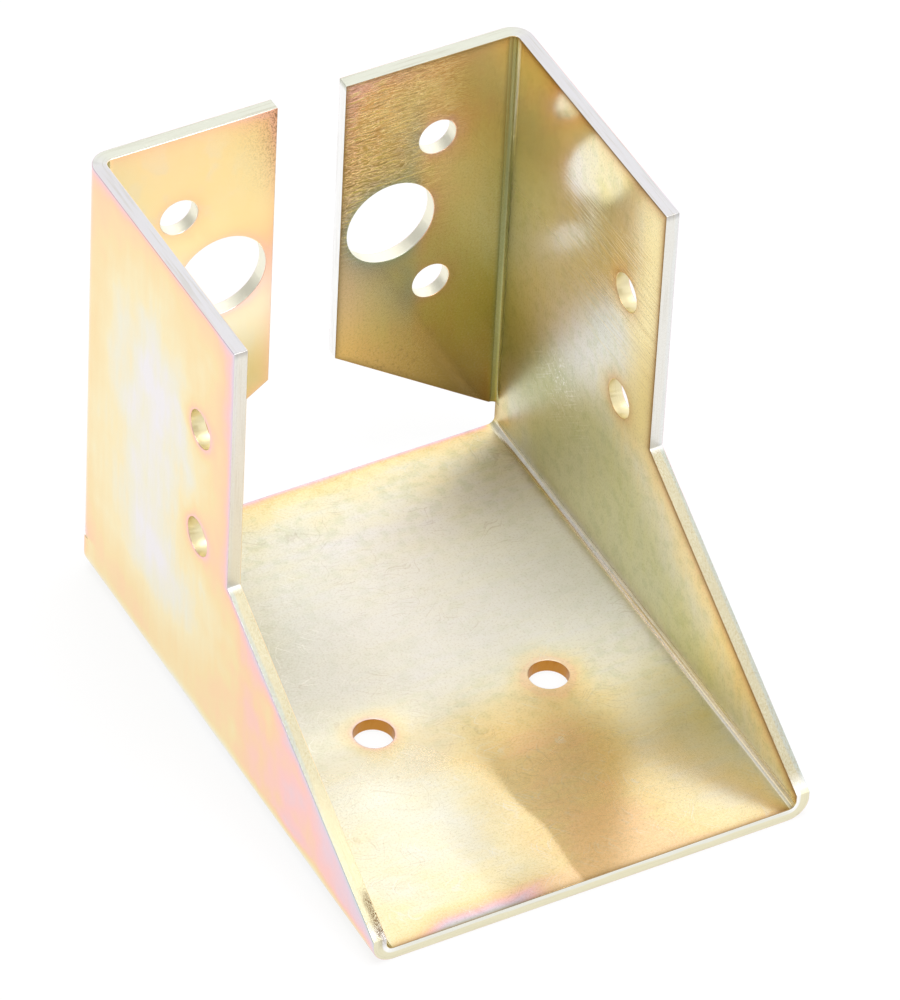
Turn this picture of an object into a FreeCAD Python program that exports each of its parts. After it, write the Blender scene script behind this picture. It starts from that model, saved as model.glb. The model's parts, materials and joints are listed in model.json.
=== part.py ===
"""Joist hanger with inward flanges, folded from one piece of yellow-zinc-plated steel sheet.

X runs across the joist, the open front faces -Y, the flanges stand at +Y, the seat lies on Z = 0.
All sizes are in millimetres.
"""
import FreeCAD
import Part
import os

# Sheet
SHEET = 2.0
BEND_RADIUS = 1.0

# Overall sizes
JOIST_WIDTH = 60.0
SEAT_DEPTH = 85.0
HEIGHT = 70.0

# Cheek outline
CHEEK_TOP_DEPTH = 42.5
KINK_HEIGHT = 30.0
NOSE_HEIGHT = 4.0

# Inward flanges
FLANGE_GAP = 10.0
FLANGE_FREE_BOTTOM = 23.0
FLANGE_FOLD_BOTTOM = 6.0

# Bolt holes, one in each flange
BOLT_DIAMETER = 13.0
BOLT_WEB = 1.0
TOP_TO_BOLT = 26.0

# Screw holes
SCREW_DIAMETER = 5.5
FLANGE_SCREW_FROM_SIDE = 13.0
FLANGE_SCREW_PITCH = 25.0
CHEEK_SCREW_FROM_EDGE = 8.5
CHEEK_SCREW_ABOVE_KINK = 2.0
CHEEK_SCREW_PITCH = 18.5
SEAT_SCREW_FROM_FRONT = 36.0
SEAT_SCREW_PITCH = 26.0

# Sizes that follow from the ones above
OUTER_RADIUS = SHEET + BEND_RADIUS
HALF_OUT = JOIST_WIDTH / 2 + SHEET
HALF_IN = JOIST_WIDTH / 2
FRONT = -SEAT_DEPTH / 2
BACK = SEAT_DEPTH / 2
FLANGE_FACE = BACK - SHEET
FREE_BACK = FLANGE_FACE
CHEEK_FRONT = BACK - CHEEK_TOP_DEPTH
FLANGE_EDGE = FLANGE_GAP / 2
BOLT_X = FLANGE_EDGE + BOLT_WEB + BOLT_DIAMETER / 2
BOLT_Z = HEIGHT - TOP_TO_BOLT
FLANGE_SCREW_X = HALF_OUT - FLANGE_SCREW_FROM_SIDE
CHEEK_SCREW_Y = CHEEK_FRONT + CHEEK_SCREW_FROM_EDGE
CHEEK_SCREW_Z = KINK_HEIGHT + CHEEK_SCREW_ABOVE_KINK
SEAT_SCREW_Y = FRONT + SEAT_SCREW_FROM_FRONT
CUTTER_OVERRUN = SHEET

X_AXIS = FreeCAD.Vector(1, 0, 0)
Y_AXIS = FreeCAD.Vector(0, 1, 0)
Z_AXIS = FreeCAD.Vector(0, 0, 1)


def quarter(centre, radius, first, last):
    """Quarter arc about centre between two unit directions at right angles."""
    middle = first + last
    middle.normalize()
    return Part.Arc(centre + first * radius, centre + middle * radius, centre + last * radius).toShape()


def trough():
    """Seat and two cheeks: a U of even thickness with rounded folds, run from front to back."""

    def at(x, z):
        return FreeCAD.Vector(x, FRONT, z)

    down = -Z_AXIS
    left = -X_AXIS
    fold_right = at(HALF_IN - BEND_RADIUS, OUTER_RADIUS)
    fold_left = at(-HALF_IN + BEND_RADIUS, OUTER_RADIUS)
    edges = [
        Part.makeLine(at(-HALF_OUT, HEIGHT), at(-HALF_OUT, OUTER_RADIUS)),
        quarter(fold_left, OUTER_RADIUS, left, down),
        Part.makeLine(at(-HALF_IN + BEND_RADIUS, 0), at(HALF_IN - BEND_RADIUS, 0)),
        quarter(fold_right, OUTER_RADIUS, down, X_AXIS),
        Part.makeLine(at(HALF_OUT, OUTER_RADIUS), at(HALF_OUT, HEIGHT)),
        Part.makeLine(at(HALF_OUT, HEIGHT), at(HALF_IN, HEIGHT)),
        Part.makeLine(at(HALF_IN, HEIGHT), at(HALF_IN, OUTER_RADIUS)),
        quarter(fold_right, BEND_RADIUS, X_AXIS, down),
        Part.makeLine(at(HALF_IN - BEND_RADIUS, SHEET), at(-HALF_IN + BEND_RADIUS, SHEET)),
        quarter(fold_left, BEND_RADIUS, down, left),
        Part.makeLine(at(-HALF_IN, OUTER_RADIUS), at(-HALF_IN, HEIGHT)),
        Part.makeLine(at(-HALF_IN, HEIGHT), at(-HALF_OUT, HEIGHT)),
    ]
    profile = Part.Face(Part.Wire(Part.__sortEdges__(edges)))
    return profile.extrude(Y_AXIS * (FREE_BACK - FRONT))


def cheek_outline():
    """Side outline kept from the U: low nose, slanted edge, kink, upright edge, level top."""

    def at(y, z):
        return FreeCAD.Vector(-HALF_OUT, y, z)

    corners = [
        at(FRONT, 0),
        at(FRONT, NOSE_HEIGHT),
        at(CHEEK_FRONT, KINK_HEIGHT),
        at(CHEEK_FRONT, HEIGHT),
        at(BACK - OUTER_RADIUS, HEIGHT),
        at(BACK - OUTER_RADIUS, FLANGE_FOLD_BOTTOM),
        at(FREE_BACK, FLANGE_FOLD_BOTTOM),
        at(FREE_BACK, 0),
    ]
    outline = Part.Face(Part.makePolygon(corners + corners[:1]))
    return outline.extrude(X_AXIS * (2 * HALF_OUT))


def flange(side):
    """One inward flange with its upright fold; its lower edge rises towards the free edge."""
    inward = X_AXIS * -side
    outward = X_AXIS * side

    def at(x, y):
        return FreeCAD.Vector(side * x, y, FLANGE_FOLD_BOTTOM)

    fold = at(HALF_IN - BEND_RADIUS, BACK - OUTER_RADIUS)
    edges = [
        Part.makeLine(at(HALF_IN, BACK - OUTER_RADIUS), at(HALF_OUT, BACK - OUTER_RADIUS)),
        quarter(fold, OUTER_RADIUS, outward, Y_AXIS),
        Part.makeLine(at(HALF_IN - BEND_RADIUS, BACK), at(FLANGE_EDGE, BACK)),
        Part.makeLine(at(FLANGE_EDGE, BACK), at(FLANGE_EDGE, FLANGE_FACE)),
        Part.makeLine(at(FLANGE_EDGE, FLANGE_FACE), at(HALF_IN - BEND_RADIUS, FLANGE_FACE)),
        quarter(fold, BEND_RADIUS, Y_AXIS, outward),
    ]
    profile = Part.Face(Part.Wire(Part.__sortEdges__(edges)))
    blank = profile.extrude(Z_AXIS * (HEIGHT - FLANGE_FOLD_BOTTOM))
    start = at(HALF_IN - BEND_RADIUS, FLANGE_FACE)
    corner = at(FLANGE_EDGE, FLANGE_FACE)
    rise = Z_AXIS * (FLANGE_FREE_BOTTOM - FLANGE_FOLD_BOTTOM)
    taper = Part.Face(Part.makePolygon([start, corner, corner + rise, start]))
    return blank.cut(taper.extrude(Y_AXIS * SHEET))


def hole(centre, axis, diameter, length):
    return Part.makeCylinder(diameter / 2, length, centre, axis)


def holes():
    """Bolt and screw holes, in pairs left and right."""
    cutters = []
    through_sheet = SHEET + 2 * CUTTER_OVERRUN
    through_both = 2 * (HALF_OUT + CUTTER_OVERRUN)
    for side in (-1, 1):
        face = FLANGE_FACE - CUTTER_OVERRUN
        bolt = FreeCAD.Vector(side * BOLT_X, face, BOLT_Z)
        cutters.append(hole(bolt, Y_AXIS, BOLT_DIAMETER, through_sheet))
        for step in (-1, 1):
            height = BOLT_Z + step * FLANGE_SCREW_PITCH / 2
            screw = FreeCAD.Vector(side * FLANGE_SCREW_X, face, height)
            cutters.append(hole(screw, Y_AXIS, SCREW_DIAMETER, through_sheet))
        seat = FreeCAD.Vector(side * SEAT_SCREW_PITCH / 2, SEAT_SCREW_Y, -CUTTER_OVERRUN)
        cutters.append(hole(seat, Z_AXIS, SCREW_DIAMETER, through_sheet))
    for height in (CHEEK_SCREW_Z, CHEEK_SCREW_Z + CHEEK_SCREW_PITCH):
        cheek = FreeCAD.Vector(-HALF_OUT - CUTTER_OVERRUN, CHEEK_SCREW_Y, height)
        cutters.append(hole(cheek, X_AXIS, SCREW_DIAMETER, through_both))
    return cutters


def hanger():
    body = trough().common(cheek_outline())
    body = body.fuse([flange(-1), flange(1)]).removeSplitter()
    body = body.cut(holes()).removeSplitter()
    if len(body.Solids) != 1 or not body.isValid():
        raise ValueError("the folded sheet is not one sound solid")
    return body.Solids[0]


os.makedirs("parts", exist_ok=True)
hanger().exportStep("parts/hanger.step")
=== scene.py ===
"""Looks of the joist hanger: one folded sheet of yellow-passivated zinc-plated steel on a white floor."""
import json
import math

import bmesh
import bpy
from bpy.props import FloatProperty, FloatVectorProperty, IntProperty, PointerProperty
from bpy.types import Operator, Panel, PropertyGroup
from mathutils import Matrix, Vector
from mathutils.geometry import intersect_point_line


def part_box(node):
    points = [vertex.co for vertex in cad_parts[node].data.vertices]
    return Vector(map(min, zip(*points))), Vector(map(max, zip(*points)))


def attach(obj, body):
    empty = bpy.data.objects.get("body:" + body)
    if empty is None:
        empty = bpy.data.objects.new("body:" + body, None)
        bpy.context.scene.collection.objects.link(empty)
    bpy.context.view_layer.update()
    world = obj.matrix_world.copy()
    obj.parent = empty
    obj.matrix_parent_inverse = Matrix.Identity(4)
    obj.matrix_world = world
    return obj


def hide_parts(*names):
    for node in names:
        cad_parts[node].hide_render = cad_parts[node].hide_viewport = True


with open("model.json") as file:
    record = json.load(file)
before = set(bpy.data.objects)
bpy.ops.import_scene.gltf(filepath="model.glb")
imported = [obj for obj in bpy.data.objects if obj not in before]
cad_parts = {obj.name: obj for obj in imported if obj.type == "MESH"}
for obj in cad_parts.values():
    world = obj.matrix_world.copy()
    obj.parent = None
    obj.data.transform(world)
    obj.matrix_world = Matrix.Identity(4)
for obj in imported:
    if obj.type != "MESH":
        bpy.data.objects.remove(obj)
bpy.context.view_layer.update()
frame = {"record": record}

bl_info = {
    "name": "Joist Hanger Looks",
    "version": (1, 0, 0),
    "blender": (4, 5, 0),
    "location": "View3D > Sidebar > Hanger",
    "description": "Folds the hanger's sheet, plates it and sets up its studio",
    "category": "Object",
}

NODE = "hanger"
BODY = "root"
LOW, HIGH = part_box(NODE)
MOUNTS = {mount["name"]: mount for mount in frame["record"]["mounts"]}

MM = 0.001
QUARTER_TURN = math.pi / 2
EULER = math.e

# The sheet's mesh: a cut's tolerance, what counts as sharp, upright or level, and the finishes in order
CUT_TOLERANCE = 1e-7
PLACE_DIGITS = 6
SHARP_ANGLE = math.radians(30)
UPRIGHT_NORMAL = 0.3
LEVEL_NORMAL = 0.99
PANEL_WEIGHT = 100
OUTSIDE, SEAT, LEFT, RIGHT, EDGE = range(5)

# The studio: height of the camera's frame in millimetres, the floor, and how far the room's light spreads
FRAME_HEIGHT = 24
FLOOR_HALF = 4.0
FLOOR_DROP = 0.02 * MM
ROOM_EDGE = 0.6
WHITE = (1.0, 1.0, 1.0)


def length(name, description, default):
    return FloatProperty(name=name, description=description, default=default, unit="LENGTH", precision=5)


def colour(name, description, default):
    return FloatVectorProperty(name=name, description=description, default=default, subtype="COLOR",
                               size=3, min=0.0, max=1.0)


def rotation(name, description, degrees):
    return FloatProperty(name=name, description=description, default=math.radians(degrees), subtype="ANGLE")


def position(name, description, default):
    return FloatVectorProperty(name=name, description=description, default=default, subtype="TRANSLATION",
                               size=3, precision=5)


def amount(name, description, default):
    return FloatProperty(name=name, description=description, default=default, min=0.0)


class HangerSizes(PropertyGroup):
    """Sizes of the folded sheet that the frame doesn't give by itself."""

    sheet: length("Sheet", "Thickness of the sheet", 2 * MM)
    bend: length("Bend radius", "Inside radius of every fold", 1 * MM)
    nose: length("Nose", "Height of the cheek at the seat's front edge", 4 * MM)
    kink: length("Kink", "Height at which the slanted edge turns upright", 30 * MM)
    cheek_front: length("Cheek front", "Place of the upright front edge along the joist", 0 * MM)
    flange_gap: length("Flange gap", "Gap between the free edges of the two flanges", 10 * MM)
    free_bottom: length("Free corner", "Height of the flange's lower corner at its free edge", 23 * MM)
    fold_bottom: length("Fold bottom", "Height at which the upright fold starts", 6 * MM)
    slit: length("Slit", "Width of the shear slit under the upright fold", 0.15 * MM)
    edge_round: length("Edge round", "Rounding of the sheared edges", 0.16 * MM)
    grid: length("Grid", "Spacing of the mesh lines over the flat sheet", 2.5 * MM)
    fold_steps: IntProperty(name="Fold steps", description="Strips in each fold", default=8, min=2)
    hole_steps: IntProperty(name="Hole steps", description="Sides of each hole", default=56, min=16)


class HangerFinish(PropertyGroup):
    """Colours of the passivated zinc, and of the light and shade painted on it."""

    lavender: colour("Lavender", "Thinnest film, in the middle of the panels", (0.87, 0.83, 0.84))
    olive: colour("Olive", "Thin film", (0.88, 0.83, 0.66))
    straw: colour("Straw", "Pale yellow film", (0.95, 0.81, 0.48))
    gold: colour("Gold", "Full yellow film", (0.96, 0.74, 0.38))
    orange: colour("Orange", "Thick film near edges and holes", (1.0, 0.65, 0.38))
    pink: colour("Pink", "Thicker film beside the edges", (1.0, 0.58, 0.54))
    lilac: colour("Lilac", "Film beside the rims", (0.82, 0.63, 0.73))
    steel_blue: colour("Steel blue", "Thickest film, at the rims", (0.64, 0.70, 0.72))
    # Painted light: the palest yellow, laid over the left cheek and flange and on the seat's front left
    glow: colour("Glow", "Palest yellow film, on the left flange", (1.0, 1.0, 0.88))
    # Golden film with a painted highlight along the right cheek's front edge
    flare: colour("Flare", "Golden film by the right cheek's holes", (1.0, 0.86, 0.44))
    # Darker and browner towards the bottom of the left flange
    sallow: colour("Sallow", "Duller film low on the left flange", (0.74, 0.62, 0.34))
    zinc: colour("Zinc", "Almost bare zinc in the middle of the seat", (0.93, 0.94, 0.93))
    # Painted sheen over the middle of the right cheek
    sheen: colour("Haze", "Greyer film in the middle of the cheeks", (0.86, 0.96, 0.95))
    # Painted highlight high on the right cheek
    shine: colour("Shine", "Palest film on the top of the right cheek", (1.0, 0.88, 0.42))
    # Painted olive shade on the seat's left, beside the left cheek
    seat_shade: colour("Murk", "Olive film on the left of the seat", (0.74, 0.75, 0.62))
    # Painted shade: the seat's left half darker than its right, behind its front
    seat_left: colour("Seat, left", "Tone of the seat's left half", (0.78, 0.78, 0.73))
    seat_right: colour("Seat, right", "Tone of the seat's right half", (0.99, 1.0, 1.0))
    smear: colour("Smear", "Greener blotches in the film", (0.74, 0.80, 0.66))
    # Painted shade low on the right cheek, towards the flange
    gloom: colour("Gloom", "Dull film low on the cheeks towards the flanges", (0.75, 0.74, 0.58))
    # Painted shade in and beside the right upright fold
    dusk: colour("Dusk", "Dull film beside the right upright fold", (0.55, 0.60, 0.42))
    verdigris: colour("Verdigris", "Green-grey film beside the right flange's holes", (0.52, 0.58, 0.47))
    # Painted shade low on the right cheek, towards the seat
    shade: colour("Shade", "Duller film deep on the inner walls", (0.69, 0.72, 0.43))
    # Painted shade over the right flange towards its fold
    flange_shade: colour("Bronze", "Browner film on the right flange", (0.89, 0.95, 0.79))
    amber: colour("Amber", "Fuller film low on the right flange", (1.0, 0.97, 0.60))
    ivory: colour("Ivory", "Paler film along the seat's folds", (0.94, 0.92, 0.74))
    umber: colour("Umber", "Burnt film, specks and pits", (0.30, 0.20, 0.08))
    silver: colour("Silver", "Zinc laid bare by scratches", (0.90, 0.89, 0.84))
    rubbed: colour("Rubbed", "Film polished by rubbing", (0.97, 0.79, 0.38))
    soot: colour("Soot", "Burrs torn at the front left corner", (0.15, 0.08, 0.03))
    edge: colour("Edge", "Sheared steel at the cut edges", (1.0, 1.0, 1.0))
    edge_front: colour("Front edge", "Sheared steel at the seat's edges", (0.86, 0.87, 0.83))
    edge_film: colour("Edge film", "Yellow film over the cut edges", (0.82, 0.77, 0.56))
    edge_top: colour("Top edge", "Lavender film over the top edges", (0.64, 0.63, 0.65))
    edge_pale: colour("Flange edge", "Greener film over the flanges' top edges", (0.66, 0.67, 0.58))
    edge_dark: colour("Edge dark", "Torn grain in the cut edges", (0.42, 0.38, 0.27))
    slant_in: colour("Slant, inner", "Grainy yellow film on the slanted edges", (0.53, 0.50, 0.36))
    slant_out: colour("Slant, outer", "Green-grey film on the slanted edges", (0.44, 0.48, 0.44))
    bore: colour("Bore", "Film inside the cheek's holes", (0.80, 0.72, 0.46))
    bore_pale: colour("Pale bore", "Film inside the flanges' holes", (0.95, 0.92, 0.76))
    burnt: colour("Burnt bore", "Film inside the seat's holes", (0.52, 0.23, 0.04))


class Studio(PropertyGroup):
    """Camera, light and floor."""

    azimuth: rotation("Azimuth", "Turn of the camera about the part", -30.08)
    elevation: rotation("Elevation", "Height angle of the camera", 42.29)
    roll: rotation("Roll", "Turn of the camera about its line of sight", 3.09)
    distance: length("Distance", "From the camera to the point it looks at", 1188.6 * MM)
    aim: position("Aim", "Point that the camera looks at", (-0.278 * MM, -1.077 * MM, 33.822 * MM))
    lens: FloatProperty(name="Lens", description="Focal length over the height of the frame", default=220.8,
                        unit="CAMERA")
    lamp_place: position("Lamp place", "Middle of the overhead lamp", (-50 * MM, 0, 950 * MM))
    lamp_side: length("Lamp side", "Side of the square lamp", 600 * MM)
    lamp_level: amount("Lamp level", "Brightness of the lamp's face", 5.7)
    room_left: amount("Room, left", "Brightness of the room on the left", 0.55)
    room_right: amount("Room, right", "Brightness of the room on the right", 1.28)
    paper: colour("Paper", "Colour of the floor", (0.84, 0.84, 0.84))
    paper_glow: amount("Paper glow", "Share of plain white in the floor where it is seen", 0.85)


class Value:
    """A shader value whose arithmetic adds Math nodes."""

    def __init__(self, tree, socket):
        self.tree = tree
        self.socket = socket

    def math(self, operation, first, second):
        node = self.tree.nodes.new("ShaderNodeMath")
        node.operation = operation
        for socket, value in zip(node.inputs, (first, second)):
            feed(self.tree, socket, value)
        return Value(self.tree, node.outputs[0])

    def __add__(self, other):
        return self.math("ADD", self, other)

    __radd__ = __add__

    def __sub__(self, other):
        return self.math("SUBTRACT", self, other)

    def __rsub__(self, other):
        return self.math("SUBTRACT", other, self)

    def __mul__(self, other):
        return self.math("MULTIPLY", self, other)

    __rmul__ = __mul__

    def __truediv__(self, other):
        return self.math("DIVIDE", self, other)

    def __rtruediv__(self, other):
        return self.math("DIVIDE", other, self)

    def __pow__(self, other):
        return self.math("POWER", self, other)

    def __rpow__(self, other):
        return self.math("POWER", other, self)

    def __neg__(self):
        return self.math("MULTIPLY", self, -1)

    def __abs__(self):
        return self.math("ABSOLUTE", self, 0)

    def least(self, other):
        return self.math("MINIMUM", self, other)


def feed(tree, socket, value):
    """Links a Value to a socket, or sets the socket to a plain number, colour or vector."""
    if isinstance(value, Value):
        tree.links.new(value.socket, socket)
    elif hasattr(value, "__len__") and len(value) == 3 and socket.type == "RGBA":
        socket.default_value = (*value, 1.0)
    else:
        socket.default_value = value


class Shader:
    """A material's or the world's node tree, with one method that adds any node."""

    def __init__(self, owner):
        owner.use_nodes = True
        self.tree = owner.node_tree
        self.tree.nodes.clear()

    def node(self, kind, settings=None, output=0, **inputs):
        """Adds a node, sets its settings, feeds its sockets by name or number, and gives one output."""
        node = self.tree.nodes.new("ShaderNode" + kind)
        for name, setting in (settings or {}).items():
            if name == "stops":
                self.set_stops(node.color_ramp, setting)
            else:
                setattr(node, name, setting)
        for name, value in inputs.items():
            key = int(name[1:]) if name[1:].isdigit() else name.replace("_", " ")
            feed(self.tree, node.inputs[key], value)
        return Value(self.tree, node.outputs[output])

    def set_stops(self, ramp, stops):
        while len(ramp.elements) < len(stops):
            ramp.elements.new(1.0)
        for element, (place, shade) in zip(ramp.elements, stops):
            element.position = place
            element.color = (*shade, 1.0)

    def mix(self, factor, first, second, share=1, blend="MIX"):
        """Mixes a share of the second colour into the first."""
        settings = {"data_type": "RGBA", "blend_type": blend}
        part = factor if share == 1 else factor * share
        return self.node("Mix", settings, output=2, i0=part, i6=first, i7=second)

    def stain(self, factor, first, second, share=1):
        """Multiplies a share of the second colour into the first."""
        return self.mix(factor, first, second, share, "MULTIPLY")

    def ease(self, value, start, end):
        """Rises smoothly from 0 at start to 1 at end."""
        settings = {"interpolation_type": "SMOOTHSTEP"}
        return self.node("MapRange", settings, Value=value, From_Min=start, From_Max=end)

    def scaled(self, vector, factors):
        return self.node("VectorMath", {"operation": "MULTIPLY"}, i0=vector, i1=factors)

    def shifted(self, vector, shift):
        return self.node("VectorMath", {"operation": "ADD"}, i0=vector, i1=shift)

    def parts(self, vector, factor):
        """The three parts of a vector, each times a factor."""
        node = self.node("SeparateXYZ", i0=vector).socket.node
        return [Value(self.tree, socket) * factor for socket in node.outputs]

    def noise(self, vector, scale, detail, roughness=0.5, stretch=None):
        """Noise over a vector whose parts are stretched first."""
        if stretch:
            vector = self.scaled(vector, stretch)
        return self.node("TexNoise", Vector=vector, Scale=scale, Detail=detail, Roughness=roughness)

    def gap(self, at, spot):
        """Distance on the flat sheet from a spot, given as its places out and along."""
        out, along = spot
        across = at.out - out
        away = at.along - along
        return (across * across + away * away) ** 0.5

    def output(self, surface, kind="OutputMaterial"):
        end = self.tree.nodes.new("ShaderNode" + kind)
        self.tree.links.new(surface.socket, end.inputs["Surface"])


class Blank:
    """The hanger's flat sheet: where each point of the folded part lies before folding."""

    def __init__(self, sizes):
        self.sheet = sizes.sheet
        self.neutral = sizes.bend + sizes.sheet / 2
        self.arc = self.neutral * QUARTER_TURN
        self.half_in = HIGH.x - sizes.sheet
        self.seat_fold = self.half_in - sizes.bend
        self.wall_start = self.seat_fold + self.arc
        self.flange_fold = HIGH.y - sizes.sheet - sizes.bend
        self.flange_start = self.flange_fold + self.arc
        self.flange_end = self.flange_start + self.seat_fold - sizes.flange_gap / 2
        self.wall_foot = sizes.sheet + sizes.bend
        self.tab_top = self.up(sizes.fold_bottom) - sizes.slit
        self.sizes = sizes

    def up(self, z):
        """Distance from the middle of the seat to a height on the cheek, along the sheet."""
        return self.wall_start + z - self.wall_foot

    def along(self, x):
        """Distance from the middle of the seat to a place on the flange, along the sheet."""
        return self.flange_start + self.seat_fold - x

    def corners(self):
        """Outline of the sheet, anticlockwise: the right half, then its mirror image."""
        sizes = self.sizes
        right = [
            (self.up(sizes.nose), LOW.y),
            (self.up(sizes.kink), sizes.cheek_front),
            (self.up(HIGH.z), sizes.cheek_front),
            (self.up(HIGH.z), self.flange_end),
            (self.up(sizes.free_bottom), self.flange_end),
            (self.up(sizes.fold_bottom), self.flange_start),
            (self.up(sizes.fold_bottom), self.flange_fold),
            (self.tab_top, self.flange_fold),
            (self.tab_top, HIGH.y - sizes.sheet),
        ]
        left = [(-u, v) for u, v in reversed(right)]
        return [Vector((u, v, 0)) for u, v in right + left]

    def in_slit(self, start, end):
        """Whether a side of the outline lies in the slit under the upright fold."""
        low, high = sorted((start.y, end.y))
        behind = low > self.flange_fold - MM and high < self.flange_start + MM
        return behind and start.x * end.x > 0

    def holes(self):
        """Centre and radius of every hole in the flat sheet."""
        found = []
        for name, mount in MOUNTS.items():
            if mount["kind"] != "bolt_pattern":
                continue
            x, y, z = mount["pos_m"]
            dims = mount["dims"]
            radius = dims["hole_r_mm"] * MM
            across = dims.get("spacing_x_mm", 0) * MM / 2
            rise = dims.get("spacing_y_mm", 0) * MM / 2
            heights = {z - rise, z + rise}
            if name.startswith("beam"):
                places = [(self.up(h), self.along(across)) for h in heights]
            elif name.startswith("joist"):
                places = [(self.up(h), y) for h in heights]
            else:
                places = [(across, y)]
            for u, v in places:
                for side in (-1, 1):
                    found.append((Vector((side * u, v, 0)), radius))
        unique = {(round(c.x, PLACE_DIGITS), round(c.y, PLACE_DIGITS)): (c, r) for c, r in found}
        return list(unique.values())

    def roll(self, along, height, start):
        """Rolls a point past a fold line up through a quarter turn."""
        if along <= start:
            return along, height
        angle = min(along - start, self.arc) / self.neutral
        beyond = max(along - start - self.arc, 0)
        reach = self.neutral - height
        across = start + reach * math.sin(angle) + beyond * math.cos(angle)
        up = self.neutral - reach * math.cos(angle) + beyond * math.sin(angle)
        return across, up

    def fold(self, flat):
        """Place in the folded part of a point of the flat sheet."""
        u, v, w = abs(flat.x), flat.y, flat.z
        if u > self.tab_top + self.sizes.slit / 2:
            v, w = self.roll(v, w, self.flange_fold)
        u, w = self.roll(u, w, self.seat_fold)
        return Vector((math.copysign(u, flat.x), v, w + self.sheet / 2))


def cut(bm, place, normal):
    """Adds a line of edges across the whole mesh."""
    geometry = bm.verts[:] + bm.edges[:] + bm.faces[:]
    bmesh.ops.bisect_plane(bm, geom=geometry, dist=CUT_TOLERANCE, plane_co=place, plane_no=normal)


def flat_sheet(blank):
    """The punched sheet before folding: an outline with holes, given its thickness and rounded edges."""
    sizes = blank.sizes
    bm = bmesh.new()
    corners = [bm.verts.new(corner) for corner in blank.corners()]
    edges = [bm.edges.new(pair) for pair in zip(corners, corners[1:] + corners[:1])]
    for centre, radius in blank.holes():
        ring = bmesh.ops.create_circle(bm, segments=sizes.hole_steps, radius=radius,
                                       matrix=Matrix.Translation(centre))
        edges += list({edge for vert in ring["verts"] for edge in vert.link_edges})
    bmesh.ops.triangle_fill(bm, edges=edges, use_beauty=True, normal=Vector((0, 0, 1)))
    bmesh.ops.recalc_face_normals(bm, faces=bm.faces)
    bmesh.ops.solidify(bm, geom=bm.faces[:], thickness=sizes.sheet)
    middle = sum(vert.co.z for vert in bm.verts) / len(bm.verts)
    bmesh.ops.translate(bm, verts=bm.verts, vec=(0, 0, -middle))
    bmesh.ops.recalc_face_normals(bm, faces=bm.faces)
    sharp = [edge for edge in bm.edges if edge.calc_face_angle(0) > SHARP_ANGLE]
    bmesh.ops.bevel(bm, geom=sharp, offset=sizes.edge_round, segments=2, profile=0.5,
                    affect="EDGES", material=-1, loop_slide=False, clamp_overlap=True)
    return bm


def mark_panels(bm, blank):
    """Gives the outside, the seat, the two walls and the sheared edges their own finishes."""
    middle = blank.seat_fold + blank.arc / 2
    for face in bm.faces:
        across = face.calc_center_median().x
        if abs(face.normal.z) < UPRIGHT_NORMAL:
            face.material_index = EDGE
        elif face.normal.z < 0:
            face.material_index = OUTSIDE
        elif abs(across) < middle:
            face.material_index = SEAT
        else:
            face.material_index = RIGHT if across > 0 else LEFT
        face.smooth = True


def crease_rims(bm):
    """Keeps the panels' shading apart from that of the rounded rims, before the sheet is folded."""
    for edge in bm.edges:
        level = [abs(face.normal.z) > LEVEL_NORMAL for face in edge.link_faces]
        edge.smooth = all(level) or not any(level)


def rule_lines(bm, blank):
    """Adds the mesh lines that the folds bend along and that carry the distances to edges and holes."""
    sizes = blank.sizes
    across = set()
    along = set()
    for step in range(sizes.fold_steps + 1):
        turn = blank.arc * step / sizes.fold_steps
        across |= {blank.seat_fold + turn, -blank.seat_fold - turn}
        along.add(blank.flange_fold + turn)
    half = blank.up(HIGH.z)
    count = round(2 * half / sizes.grid)
    across |= {-half + 2 * half * (step + 0.5) / count for step in range(count)}
    depth = blank.flange_end - LOW.y
    count = round(depth / sizes.grid)
    along |= {LOW.y + depth * (step + 0.5) / count for step in range(count)}
    for place in across:
        cut(bm, (place, 0, 0), (1, 0, 0))
    for place in along:
        cut(bm, (0, place, 0), (0, 1, 0))


def note_distances(bm, blank):
    """Keeps each point's place in the flat sheet and its distances to the outline and the holes."""
    flat = bm.verts.layers.float_vector.new("flat")
    edge_gap = bm.verts.layers.float.new("edge_gap")
    hole_gap = bm.verts.layers.float.new("hole_gap")
    corners = blank.corners()
    sides = list(zip(corners, corners[1:] + corners[:1]))
    holes = blank.holes()
    for vert in bm.verts:
        point = Vector((vert.co.x, vert.co.y, 0))
        gaps = []
        for start, end in sides:
            if blank.in_slit(start, end):
                continue
            near, share = intersect_point_line(point, start, end)
            near = start if share < 0 else end if share > 1 else near
            gaps.append((point - near).length)
        vert[flat] = vert.co
        vert[edge_gap] = min(gaps)
        vert[hole_gap] = max(min((point - centre).length - radius for centre, radius in holes), 0)


# Folds and the flange's free corner on the flat sheet, in millimetres from the middle of the seat
SEAT_FOLD_LINE = 30.6
FLANGE_FOLD_LINE = 41.1
FOLD_WIDTH = 3
FOLD_FADE = (1.0, 2.2)
FLANGE_START = (39, 43)
UPRIGHT_START = (33, 36)
FREE_EDGE_LINE = 67
FREE_CORNER = (99, FREE_EDGE_LINE)

# Depth in the sheet counts for more than its length, so that its two sides don't share a pattern
DEPTH_STRETCH = 15

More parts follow.
